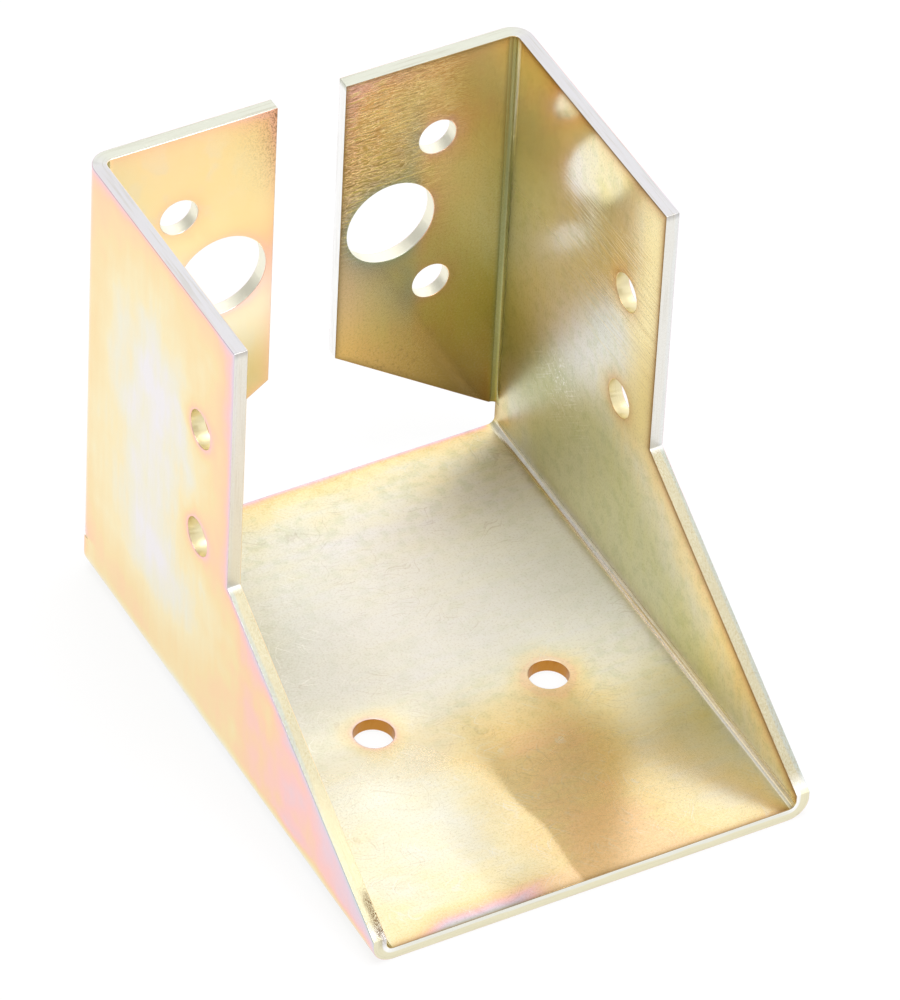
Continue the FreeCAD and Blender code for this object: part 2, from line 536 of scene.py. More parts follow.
# Noise patterns, with their scale in features to the millimetre
NOISE_MIDDLE = 0.5
CLOUDS = dict(scale=0.07, detail=2, roughness=0.55, stretch=(0.6, 1, 1))
PATCHES = dict(scale=0.2, detail=2)
VEILS = dict(scale=0.8, detail=1, stretch=(0.12, 1, 1))
WAVES = dict(scale=0.09, detail=0)
CELLS = dict(scale=1.9, detail=2, roughness=0.65)
FLECKS = dict(scale=3.2, detail=1, roughness=0.7)
SMEARS = dict(scale=0.55, detail=2, roughness=0.6)
HAIRS = dict(scale=1.0, detail=0, stretch=(4.5, 0.16, 1))
HAIR_DRIFT = dict(scale=0.25, detail=0)
SOOTY_PATCHES = dict(scale=0.11, detail=0)
NOSE_BLOTCHES = dict(scale=0.13, detail=2)
FLANGE_BLOTCHES = dict(scale=0.25, detail=2)
CORNER_GRAIN = dict(scale=4.5, detail=3, roughness=0.8)
STROKE_DRIFT = dict(scale=0.4, detail=0)
STROKES = dict(scale=1.0, detail=2, roughness=0.65)
BRUSHING = dict(scale=1.0, detail=1, roughness=0.6, stretch=(3.6, 0.1, 1))
SCUFFS = dict(scale=1.5, detail=2, roughness=0.7)
EDGE_SWAY = dict(scale=0.12, detail=2, stretch=(1, 1, 0))
EDGE_STREAKS = dict(scale=1.0, detail=4, roughness=0.65, stretch=(0.1, 0.1, 0.3))
EDGE_GRAIN = dict(scale=3, detail=3, roughness=0.75)

# Scratches, each set with its turn in degrees and its shift in millimetres
BRIGHT_HAIRS = ((25, 0), (140, 67))
DARK_HAIRS = ((50, 11), (110, 53))

# Levels of noise between which a mark comes in
HAIR_LEVELS = (0.68, 0.75)
SMEAR_LEVELS = (0.46, 0.68)
DARK_FLECK_LEVELS = (0.5, 0.72)
BRIGHT_FLECK_LEVELS = (0.5, 0.3)

# Gloss and relief of the plating: roughness from 0 to 1, heights in millimetres
SMOOTH = 0.17
POLISH = 0.03
CHEEK_DULL = 0.21
CHEEK_DULL_OUT = (90, 64)
WAVE_HEIGHT = 0.03
CELL_HEIGHT = 0.002
BURR_REACH = 0.45


class SheetPlace:
    """Where a point lies on the flat sheet, in millimetres, for the finishes to read."""

    def __init__(self, s):
        flat = s.node("Attribute", {"attribute_name": "flat"}, output=1)
        self.spot = s.scaled(flat, (1 / MM, 1 / MM, DEPTH_STRETCH / MM))
        self.across, self.along, self.depth = s.parts(flat, 1 / MM)
        self.out = abs(self.across)
        self.edge = s.node("Attribute", {"attribute_name": "edge_gap"}, output=2) / MM
        self.hole = s.node("Attribute", {"attribute_name": "hole_gap"}, output=2) / MM
        self.seat = s.ease(self.out, SEAT_FOLD_LINE, SEAT_FOLD_LINE - FOLD_WIDTH)
        self.wall = s.ease(self.out, SEAT_FOLD_LINE, SEAT_FOLD_LINE + FOLD_WIDTH)
        self.flange = s.ease(self.along, *FLANGE_START)
        self.seat_fold = 1 - s.ease(abs(self.out - SEAT_FOLD_LINE), *FOLD_FADE)
        upright = s.ease(self.out, *UPRIGHT_START)
        self.flange_fold = (1 - s.ease(abs(self.along - FLANGE_FOLD_LINE), *FOLD_FADE)) * upright


def fade(distance, reach):
    """1 at no distance, falling off over reach."""
    return EULER ** (distance * (-1 / reach))


def near(s, at, spot, reach):
    """1 at a spot of the flat sheet, falling off over reach."""
    return fade(s.gap(at, spot), reach)


def new_finish(name):
    """An empty material, its node tree and the places that it reads."""
    material = bpy.data.materials.new(name)
    s = Shader(material)
    return material, s, SheetPlace(s)


class Film:
    """Thickness of the film from 0 to 1 on the inner panels, and how far it reaches in millimetres."""

    cloudy = 0.3
    patchy = 0.14
    veiled = 0.12
    least_reach = 0.6
    more_reach = 0.8
    base = 0.03
    edge = 0.16
    edge_reach = 6.5
    rim = 0.3
    rim_reach = 0.8
    hole = 0.72
    hole_reach = 1.2
    seat_fold_loss = 0.45
    flange_fold_loss = 0.4


def film_noise(s, at, cloudy):
    """Unevenness of the chromate film, and the distances to edges and holes that waver with it."""
    cloud, patch, veil = [s.noise(at.spot, **pattern) for pattern in (CLOUDS, PATCHES, VEILS)]
    uneven = (cloud - NOISE_MIDDLE) * cloudy + (patch - NOISE_MIDDLE) * Film.patchy
    uneven = uneven + (veil - NOISE_MIDDLE) * Film.veiled
    reach = Film.least_reach + Film.more_reach * patch
    return uneven, at.edge / reach, at.hole / reach


def inner_film(s, at, hole_film=Film.hole, hole_reach=Film.hole_reach):
    """Film that the inner panels share, and the wavering distances to edges and holes."""
    uneven, edge, hole = film_noise(s, at, Film.cloudy)
    film = uneven + Film.base + Film.edge * fade(edge, Film.edge_reach)
    film = film + Film.rim * fade(edge, Film.rim_reach) + hole_film * fade(hole, hole_reach)
    return film, edge, hole


def film_at_folds(at):
    """Share of the film that is left along the walls' folds."""
    return 1 - Film.seat_fold_loss * at.seat_fold - Film.flange_fold_loss * at.flange_fold


def film_colour(s, finish, film):
    """Colours of the chromate film in the order of its thickness."""
    stops = [
        (0.0, finish.lavender),
        (0.14, finish.olive),
        (0.28, finish.straw),
        (0.45, finish.gold),
        (0.6, finish.orange),
        (0.74, finish.pink),
        (0.88, finish.lilac),
        (1.0, finish.steel_blue),
    ]
    return s.node("ValToRGB", {"stops": stops}, Fac=film)


def skin(s, tint, rough, height):
    """Metal with a colour, a roughness and a height in millimetres."""
    bump = s.node("Bump", Strength=1.0, Distance=MM, Height=height)
    s.output(s.node("BsdfPrincipled", Base_Color=tint, Metallic=1.0, Roughness=rough, Normal=bump))


def hairlines(s, spot, sets):
    """Fine scratches in two sets, each at its own angle to the sheet."""
    lines = []
    for turn, shift in sets:
        turned = s.node("Mapping", i0=spot, Rotation=(0, 0, math.radians(turn)), Location=(shift, shift, 0))
        lines.append(s.ease(s.noise(turned, **HAIRS), *HAIR_LEVELS))
    first, second = lines
    return first + second


def smears(s, at):
    """Greener blotches."""
    return s.ease(s.noise(at.spot, **SMEARS), *SMEAR_LEVELS)


def flecked(s, at, finish, tint, dark, bright):
    """A colour with fine flecks, some dark and some bright."""
    fleck = s.noise(at.spot, **FLECKS)
    tint = s.mix(s.ease(fleck, *DARK_FLECK_LEVELS), tint, finish.umber, share=dark)
    return s.mix(s.ease(fleck, *BRIGHT_FLECK_LEVELS), tint, finish.silver, share=bright)


class OutsideLook:
    """Outside: ranges and reaches in millimetres of the flat sheet, and the film that each place adds."""

    cloudy = 0.6
    base = 0.04
    nose_along = (18, -20)
    nose = 0.32
    nose_blotch = 1.1
    crown_out = (84, 95)
    crown_along = (1, 7)
    heel_line = 41
    heel_reach = 6
    heel = 0.38
    hem_out = (50, 34)
    hem_along = (40, 26)
    hem = 0.36
    top_out = (70, 95)
    top = 0.2
    tab_along = (36, 39)
    tab_out = (36, 35)
    tab_loss = 0.5
    edge_reach = 6.5
    edge_reach_nose = 5
    edge = 0.46
    edge_nose = 0.14
    edge_crown = 0.16
    rim_reach = 0.8
    rim = 0.25
    rim_crown = 0.1
    hole_reach = 1.2
    hole = 0.72
    most = 1.05
    bend = 0.78
    lip_reach = 0.6
    lip = 0.12


def outer_side(finish):
    """Outside of the sheet: a clean film that turns orange, pink and blue towards the front edges."""
    material, s, at = new_finish("plating_outside")
    look = OutsideLook
    uneven, edge, hole = film_noise(s, at, look.cloudy)
    nose = s.ease(at.along, *look.nose_along) * at.wall
    crown = s.ease(at.out, *look.crown_out) * s.ease(at.along, *look.crown_along)
    heel = fade(abs(at.along - look.heel_line), look.heel_reach) * at.wall
    hem = s.ease(at.out, *look.hem_out) * s.ease(at.along, *look.hem_along) * at.wall
    tab = s.ease(at.along, *look.tab_along) * s.ease(at.out, *look.tab_out)
    wide = EULER ** (-edge / (look.edge_reach + look.edge_reach_nose * nose))
    edge_film = look.edge + look.edge_nose * nose - look.edge_crown * crown
    rim_film = look.rim - look.rim_crown * crown
    blotch = s.noise(at.spot, **NOSE_BLOTCHES) - NOISE_MIDDLE
    film = uneven + look.base + edge_film * wide + rim_film * fade(edge, look.rim_reach)
    film = film + look.hole * fade(hole, look.hole_reach) + (look.nose + look.nose_blotch * blotch) * nose
    film = film + look.heel * heel + look.hem * hem + look.top * s.ease(at.out, *look.top_out)
    film = film * (1 - look.tab_loss * tab)
    film = look.most * (1 - EULER ** (film / -look.bend)) + look.lip * fade(edge, look.lip_reach)
    skin(s, film_colour(s, finish, film), SMOOTH, s.noise(at.spot, **WAVES) * WAVE_HEIGHT)
    return material


class SeatFilm:
    """Film of the seat: ranges in millimetres of the flat sheet, and the film that each place adds."""

    back_along = (25, 38)
    back = 0.1
    back_rim = 0.35
    back_rim_reach = 1.1
    front_along = (3, -17)
    front = 0.14
    gilt = 0.3
    gilt_left = (-14, 4)
    gilt_right = (20, 9)
    blush = 0.45
    blush_line = -14
    blush_across = (13, 6)
    blush_along = (-30, -36)
    blush_edge = (5, 0.5)
    most = 0.54
    most_left = 0.5
    most_back = 0.5
    left_across = (-4, -14)


def seat_film(s, at):
    """Film of the seat: thin, thicker towards the front and in a golden patch there."""
    look = SeatFilm
    film, edge, _ = inner_film(s, at)
    back = s.ease(at.along, *look.back_along)
    gilt = look.gilt * s.ease(at.across, *look.gilt_left) * s.ease(at.across, *look.gilt_right)
    front = s.ease(at.along, *look.front_along) * (look.front + gilt)
    blush = s.ease(at.edge, *look.blush_edge) * s.ease(abs(at.across - look.blush_line), *look.blush_across)
    blush = blush * s.ease(at.along, *look.blush_along)
    back_rim = look.back_rim * fade(edge, look.back_rim_reach) * back
    film = film + at.seat * (look.back * back + front + look.blush * blush + back_rim)
    film = film * (1 - Film.seat_fold_loss * at.seat_fold)
    left = s.ease(at.across, *look.left_across)
    return film.least(look.most + look.most_left * left + look.most_back * back)


class SeatTones:
    """Shades of the seat: ranges and spots in millimetres of the flat sheet, and the share of each."""

    smear = 0.4
    smear_front = 0.28
    smear_along = (-6, -20)
    bare = 0.6
    bare_edge = (4, 16)
    bare_front = (-14, 4)
    bare_back = (38, 14)
    tone_across = (-26, 12)
    tone_along = (-30, -10)
    seat_shade_spot = (22, 14)
    seat_shade_reach = 8
    seat_shade_across = (20, -20)
    pale = 0.7
    pale_spot = (18, -17)
    pale_reach = 8
    pale_across = (0, -10)
    fold = 0.6


def seat_tones(s, at, finish, tint):
    """Shades of the seat: bare zinc in its middle, painted olive shade on the left, a painted highlight in
    front. Also gives the shade.
    """
    look = SeatTones
    smear = look.smear - look.smear_front * s.ease(at.along, *look.smear_along)
    tint = s.stain(smears(s, at) * smear, tint, finish.smear)
    bare = s.ease(at.along, *look.bare_front) * s.ease(at.along, *look.bare_back)
    bare = s.ease(at.edge, *look.bare_edge) * bare * at.seat
    tint = s.mix(bare, tint, finish.zinc, share=look.bare)
    # Painted shade: the seat's left half darker than its right, behind its front
    tone = s.mix(s.ease(at.across, *look.tone_across), finish.seat_left, finish.seat_right)
    tint = s.stain(s.ease(at.along, *look.tone_along) * at.seat, tint, tone)
    # Painted olive shade on the seat's left, beside the left cheek
    seat_shade = near(s, at, look.seat_shade_spot, look.seat_shade_reach) * s.ease(at.across, *look.seat_shade_across) * at.seat
    tint = s.stain(seat_shade, tint, finish.seat_shade)
    # Painted highlight on the seat's front left
    pale = near(s, at, look.pale_spot, look.pale_reach) * s.ease(at.across, *look.pale_across)
    tint = s.mix(pale, tint, finish.glow, share=look.pale)
    return s.stain(at.seat_fold, tint, finish.ivory, share=look.fold), seat_shade


class SeatMarks:
    """Marks on the seat: shifts in millimetres, levels of noise, and the share of each mark."""

    bend = 5
    bright = 0.3
    bright_levels = (0.4, 0.65)
    dark = 0.14
    dark_levels = (0.45, 0.6)
    dark_flecks = 0.14
    bright_flecks = 0.14


def seat_marks(s, at, finish, tint, seat_shade):
    """Wavy hairlines, dark and bright, and fine flecks."""
    look = SeatMarks
    drift = s.noise(at.spot, **HAIR_DRIFT)
    bend = s.node("CombineXYZ", i0=drift * look.bend, i1=drift * -look.bend)
    spot = s.shifted(at.spot, bend)
    bright = hairlines(s, spot, BRIGHT_HAIRS) * (s.ease(drift, *look.bright_levels) + seat_shade)
    tint = s.mix(bright, tint, finish.silver, share=look.bright)
    sooty = s.ease(s.noise(at.spot, **SOOTY_PATCHES), *look.dark_levels)
    tint = s.mix(hairlines(s, spot, DARK_HAIRS) * sooty, tint, finish.umber, share=look.dark)
    return flecked(s, at, finish, tint, look.dark_flecks, look.bright_flecks)


class SeatGloss:
    """Gloss of the seat: ranges in millimetres of the flat sheet, and the roughness that each place adds."""

    burr = 0.9
    burr_along = (-30, -40)
    gilded = 0.05
    gilded_along = (-8, -30)
    gilded_left = (-16, -2)
    gilded_right = (24, 12)
    cell_levels = (0.45, 0.7)
    cells = 0.03
    cells_gilded = 0.07
    dull = 0.26
    dull_along = (-26, -6)
    dull_wave = 12
    dull_left = 6
    dull_left_across = (2, -14)
    dull_cell_height = 0.003
    lift = 0.09
    lift_across = (-20, 2)
    lift_along = (50, 16)
    ledge = 0.07
    ledge_across = (10, 20)
    ledge_along = (8, -6)
    tilt = 0.06
    tilt_along = (4, -8)
    tilt_across = (-1, -15)
    tilt_wave = 4


def seat_side(finish):
    """Top of the seat: dull pale zinc at the back, brighter film and a golden patch at the front."""
    material, s, at = new_finish("plating_seat")
    look = SeatGloss
    tint, seat_shade = seat_tones(s, at, finish, film_colour(s, finish, seat_film(s, at)))
    tint = seat_marks(s, at, finish, tint, seat_shade)
    cells = s.noise(at.spot, **CELLS)
    gilded = s.ease(at.across, *look.gilded_left) * s.ease(at.across, *look.gilded_right)
    gilded = s.ease(at.along, *look.gilded_along) * gilded
    pitted = s.ease(cells, *look.cell_levels) * (look.cells + look.cells_gilded * gilded)
    tint = s.mix(pitted, tint, finish.umber)
    burr = fade(at.edge, BURR_REACH) * s.ease(at.along, *look.burr_along)
    tint = s.mix(burr, tint, finish.umber, share=look.burr)
    wave = s.noise(at.spot, **WAVES)
    sway = wave - NOISE_MIDDLE
    left = s.ease(at.across, *look.dull_left_across)
    dull = s.ease(at.along + sway * look.dull_wave - look.dull_left * left, *look.dull_along) * at.seat
    lift = s.ease(at.across, *look.lift_across) * s.ease(at.along, *look.lift_along)
    ledge = s.ease(at.across, *look.ledge_across) * s.ease(at.along, *look.ledge_along)
    rough = SMOOTH + at.seat * (look.gilded * gilded + look.ledge * ledge - POLISH)
    rough = rough + (look.dull + look.lift * lift) * dull
    tilted = s.ease(at.along, *look.tilt_along) * s.ease(at.across + sway * look.tilt_wave, *look.tilt_across)
    height = wave * WAVE_HEIGHT + cells * (CELL_HEIGHT + look.dull_cell_height * dull)
    skin(s, tint, rough, height + look.tilt * at.along * tilted)
    return material


class LeftLook:
    """Left wall: ranges, spots and reaches in millimetres of the flat sheet, and the share of each patch."""

    flange = 0.08
    corner = 0.6
    corner_reach = 6
    most = 0.72
    glow_spot = (86, 52)
    glow_reach = 30
    glow_cheek = 0.7
    glow_flange = 0.3
    pale = 0.7
    pale_levels = (0.5, 0.6)
    pale_spot = (89, 52)
    pale_range = (13, 4)
    sallow_out = (68, 54)
    rosy = 0.35
    rosy_reach = 1.2
    rub = 0.4
    rub_reach = 2.4
    rub_out = (80, 98)
    grain_levels = (0.5, 0.58)
    tilt = 0.07
    tilt_line = 43


def left_side(finish):
    """Inside of the left cheek and flange: bright yellow film under painted light, burnt at the flange's
    upper corner.
    """
    material, s, at = new_finish("plating_left")
    look = LeftLook
    film, _, _ = inner_film(s, at)
    corner = near(s, at, FREE_CORNER, look.corner_reach)
    film = (film + look.flange * at.flange + look.corner * corner) * film_at_folds(at)
    tint = film_colour(s, finish, film.least(look.most))
    # Painted light over the left cheek and, less, the flange
    glow = near(s, at, look.glow_spot, look.glow_reach) * (1 - corner)
    glow = glow * (look.glow_cheek + look.glow_flange * at.flange) * at.wall
    tint = s.mix(glow, tint, finish.glow)
    pale = s.ease(s.noise(at.spot, **FLANGE_BLOTCHES), *look.pale_levels)
    pale = pale * s.ease(s.gap(at, look.pale_spot), *look.pale_range) * at.flange
    tint = s.mix(pale, tint, finish.zinc, share=look.pale)
    # Darker and browner towards the bottom of the left flange
    tint = s.stain(at.flange * s.ease(at.out, *look.sallow_out), tint, finish.sallow)
    rosy = (fade(at.edge, look.rosy_reach) + fade(at.hole, look.rosy_reach)) * at.flange
    tint = s.mix(rosy, tint, finish.pink, share=look.rosy)
    rub = fade(FREE_EDGE_LINE - at.along, look.rub_reach) * s.ease(at.out, *look.rub_out) * at.flange
    tint = s.mix(rub, tint, finish.burnt, share=look.rub)
    grain = s.ease(s.noise(at.spot, **CORNER_GRAIN), *look.grain_levels)
    tint = s.mix(grain * rub, tint, finish.soot)
    rough = SMOOTH + CHEEK_DULL * (1 - at.flange) * s.ease(at.out, *CHEEK_DULL_OUT) * at.wall
    tilt = look.tilt * (at.along - look.tilt_line) * at.flange
    height = s.noise(at.spot, **WAVES) * WAVE_HEIGHT + s.noise(at.spot, **CELLS) * CELL_HEIGHT
    skin(s, tint, rough, height + tilt)
    return material


class RightFilm:
    """Film of the right wall: ranges and reaches in millimetres, and the film that each place adds."""

    hole = 0.27
    hole_reach = 2
    corner_reach = 12
    low_out = (62, 50)
    flange = 0.33
    flange_corner = 0.22
    flange_low = 0.12
    cheek_edge = 0.3
    cheek_edge_reach = 3.5
    most = 0.48
    most_corner = 0.25
    most_flange = 0.04
    most_low = 0.06
    most_hole = 0.2
    most_hole_reach = 1.5
    most_cheek = 0.15
    most_back = 0.1
    back_along = (18, 32)
    most_edge = 0.22
    most_edge_reach = 2


def right_film(s, at):
    """Film of the right cheek and flange: golden on the flange, thinner on the cheek."""
    look = RightFilm
    film, edge, hole = inner_film(s, at, look.hole, look.hole_reach)
    cheek = 1 - at.flange
    corner = near(s, at, FREE_CORNER, look.corner_reach)
    low = s.ease(at.out, *look.low_out)
    film = film + at.flange * (look.flange + look.flange_corner * corner + look.flange_low * low)
    film = film + look.cheek_edge * fade(edge, look.cheek_edge_reach) * cheek * at.wall
    on_flange = look.most_flange + look.most_low * low + look.most_hole * fade(hole, look.most_hole_reach)
    on_cheek = look.most_cheek + look.most_back * s.ease(at.along, *look.back_along)
    on_cheek = on_cheek - look.most_edge * fade(edge, look.most_edge_reach)
    most = look.most + look.most_corner * corner + at.flange * on_flange - cheek * on_cheek
    return (film * film_at_folds(at)).least(most)


class RightTones:
    """Shades of the right wall: ranges, spots and reaches in millimetres, and the share of each."""

    foot_shade_edge = (1, 14)
    foot_shade_out = (64, 50)
    gloom = 0.6
    gloom_spot = (47, 24)
    gloom_reach = 9
    sheen = 0.65
    sheen_spot = (70, 15)
    sheen_reach = 7
    back_sheen = 0.2
    back_sheen_spot = (66, 28)
    back_sheen_reach = 9
    shine = 0.95
    shine_spot = (92, 16)
    shine_reach = 5
    flange_shade_along = (64, 46)
    smear = 0.4
    silver = 0.7
    silver_spot = (88, 34)
    silver_reach = 10
    fold = 0.95
    turn = 0.3
    turn_along = (40.7, 41.3)
    seat_fold = 0.6
    amber_out = (64, 52)
    beside_reach = 7.5
    beside_out = (96, 72)
    beside_cheek = 0.3
    beside_flange = 0.7
    ring_reach = 2.5
    ring_along = (53.5, 56.5)
    flare = 0.9
    flare_along = (10, 2)
    flare_low = (54, 62)
    flare_high = (102, 92)
    hole = 0.5
    hole_reach = 1
    heel_spot = (36, 43)
    heel_reach = 16
    edge_reach = 0.5


def right_tones(s, at, finish, tint, flat):
    """Shades of the right cheek and flange, from the seat up and from the fold outwards, many of them painted
    shade, sheen and highlights.
    """
    look = RightTones
    flange = flat * at.flange
    cheek = flat * (1 - at.flange)
    # Painted shade: the cheek darker low down, towards the seat and away from its edges
    foot_shade = cheek * s.ease(at.edge, *look.foot_shade_edge) * s.ease(at.out, *look.foot_shade_out)
    tint = s.stain(foot_shade, tint, finish.shade)
    # Painted shade low on the cheek, towards its back
    gloom = near(s, at, look.gloom_spot, look.gloom_reach) * cheek
    tint = s.stain(gloom, tint, finish.gloom, share=look.gloom)
    # Painted sheen: the cheek paler and greyer around its middle
    sheen = look.sheen * near(s, at, look.sheen_spot, look.sheen_reach)
    sheen = sheen + look.back_sheen * near(s, at, look.back_sheen_spot, look.back_sheen_reach)
    tint = s.mix(sheen * cheek, tint, finish.sheen)
    # Painted highlight high on the cheek
    shine = near(s, at, look.shine_spot, look.shine_reach) * cheek
    tint = s.mix(shine, tint, finish.shine, share=look.shine)
    # Painted shade: the flange darker towards its fold
    tint = s.stain(flange * s.ease(at.along, *look.flange_shade_along), tint, finish.flange_shade)
    tint = s.stain(smears(s, at) * (1 - at.flange), tint, finish.smear, share=look.smear)
    # A paler, silvery patch high on the back of the cheek
    silver = near(s, at, look.silver_spot, look.silver_reach) * cheek
    tint = s.mix(silver, tint, finish.silver, share=look.silver)
    # Painted shade in the upright fold, with a dark line along the flange's half of it
    tint = s.stain(at.flange_fold, tint, finish.dusk, share=look.fold)
    turn = at.flange_fold * s.ease(at.along, *look.turn_along)
    tint = s.stain(turn, tint, finish.umber, share=look.turn)
    tint = s.stain(at.seat_fold, tint, finish.ivory, share=look.seat_fold)
    tint = s.stain(flange * s.ease(at.out, *look.amber_out), tint, finish.amber)
    # Painted shade beside the upright fold, more on the flange than on the cheek
    beside = fade(abs(at.along - FLANGE_FOLD_LINE), look.beside_reach) * s.ease(at.out, *look.beside_out)
    beside = beside * at.wall * (look.beside_cheek + look.beside_flange * at.flange)
    tint = s.stain(beside, tint, finish.dusk)
    ring = fade(at.hole, look.ring_reach) * s.ease(at.along, *look.ring_along)
    tint = s.mix(ring, tint, finish.verdigris)
    # Golden film and a painted highlight along the cheek's front edge, by its holes
    flare = s.ease(at.out, *look.flare_low) * s.ease(at.out, *look.flare_high)
    flare = s.ease(at.along, *look.flare_along) * flare * cheek
    tint = s.mix(flare, tint, finish.flare, share=look.flare)
    tint = s.mix(fade(at.hole, look.hole_reach) * cheek, tint, finish.burnt, share=look.hole)
    # Darker brown towards the flange's low corner by the fold
    tint = s.mix(near(s, at, look.heel_spot, look.heel_reach) * flange, tint, finish.umber)
    return s.mix(fade(at.edge, look.edge_reach) * cheek, tint, finish.burnt)


class RightMarks:
    """Marks on the right wall: ranges and spots in millimetres, levels of noise, and the share of each."""

    stroke_stretch = (3.0, 0.3, 1)
    stroke_bend = 0.8
    stroke_out = (66, 78)
    stroke_along = (46, 60)
    stroke_bright = (0.54, 0.62)
    stroke_dark = (0.47, 0.38)
    line = 0.45
    line_low = (60, 74)
    line_high = (94, 82)
    line_along = (30, 16)
    line_bright = (0.54, 0.66)
    line_dark = (0.47, 0.36)
    bright = 0.8
    dark = 0.4
    mark_height = 0.02
    scuff_spot = (53, 24)
    scuff_reach = 3.5
    scuff_levels = (0.56, 0.64)
    scratch = 0.5
    scratch_reach = 6
    dark_flecks = 0.22
    bright_flecks = 0.06
    rub = 0.8
    rub_spot = (45, 60)
    rub_reach = 7
    pit_level = 0.62
    pit_rubbed = 0.18
    pit_full = 0.72
    burr = 0.9
    rise_out = (66, 106)
    rise = 1.4


def flange_strokes(s, at):
    """Short beaded strokes that run across the upper outer part of the right flange."""
    look = RightMarks
    bend = s.node("CombineXYZ", i0=s.noise(at.spot, **STROKE_DRIFT) * look.stroke_bend)
    stroke = s.noise(s.shifted(s.scaled(at.spot, look.stroke_stretch), bend), **STROKES)
    where = s.ease(at.out, *look.stroke_out) * s.ease(at.along, *look.stroke_along)
    return s.ease(stroke, *look.stroke_bright) * where, s.ease(stroke, *look.stroke_dark) * where


def cheek_lines(s, at):
    """Fine brushed lines that run along the upper front part of the right cheek."""
    look = RightMarks
    line = s.noise(at.spot, **BRUSHING)
    where = look.line * s.ease(at.out, *look.line_low) * s.ease(at.out, *look.line_high)
    where = where * s.ease(at.along, *look.line_along)
    return s.ease(line, *look.line_bright) * where, s.ease(line, *look.line_dark) * where


def right_side(finish):
    """Inside of the right cheek and flange: golden film with strokes, brushed lines and a scuff."""
    material, s, at = new_finish("plating_right")
    look = RightMarks
    flat = at.wall * (1 - at.flange_fold)
    tint = right_tones(s, at, finish, film_colour(s, finish, right_film(s, at)), flat)
    bright_stroke, dark_stroke = flange_strokes(s, at)
    bright_line, dark_line = cheek_lines(s, at)
    bright = bright_stroke + bright_line
    dark = dark_stroke + dark_line
    tint = s.mix(bright, tint, finish.rubbed, share=look.bright)
    tint = s.mix(dark, tint, finish.umber, share=look.dark)
    scuffed = s.gap(at, look.scuff_spot)
    scuff = s.ease(s.noise(at.spot, **SCUFFS), *look.scuff_levels) * fade(scuffed, look.scuff_reach)
    scratch = hairlines(s, at.spot, BRIGHT_HAIRS) * fade(scuffed, look.scratch_reach) * look.scratch
    tint = s.mix(scuff + scratch, tint, finish.silver)
    tint = flecked(s, at, finish, tint, look.dark_flecks, look.bright_flecks)
    cells = s.noise(at.spot, **CELLS)
    rub = near(s, at, look.rub_spot, look.rub_reach)
    pits = s.ease(cells, look.pit_level - look.pit_rubbed * rub, look.pit_full) * rub
    tint = s.mix(pits, tint, finish.umber, share=look.rub)
    tint = s.mix(fade(at.edge, BURR_REACH) * at.wall, tint, finish.umber, share=look.burr)
    cheek = flat * (1 - at.flange)
    rough = SMOOTH + cheek * (CHEEK_DULL * s.ease(at.out, *CHEEK_DULL_OUT) - POLISH)
    rise = s.ease(at.out, *look.rise_out)
    height = s.noise(at.spot, **WAVES) * WAVE_HEIGHT + cells * CELL_HEIGHT
    height = height - look.rise * rise * rise * cheek + (bright - dark) * look.mark_height
    skin(s, tint, rough, height)
    return material


class EdgeLook:
    """Cut edges: ranges in millimetres of the flat sheet, levels of noise, and the share of each patch."""

    band_depth = (-0.6, -0.2)
    band = 0.06
    band_seat = 0.14
    slant_out = (33, 35)
    slant_along = (0.5, -1)
    top_out = (98, 99)
    lip_along = (-41.5, -42.2)
    lip_depth = (0.45, 0.15)
    streak = 0.15
    streak_top = 0.2
    streak_levels = (0.5, 0.66)
    grain = 0.2
    grain_levels = (0.58, 0.72)
    slant_grain = 0.8
    slant_grain_levels = (0.5, 0.58)
    left_across = (0, -20)
    nose = 0.6
    nose_along = (-18, -34)
    torn_spot = (35, -40)
    torn_range = (5, 2)
    torn_depth = (0, 0.8)
    torn_levels = (0.45, 0.5)
    bore_reach = 0.3
    rough = 0.29
    rough_grain = 0.1
    grain_height = 0.012
    streak_height = 0.02


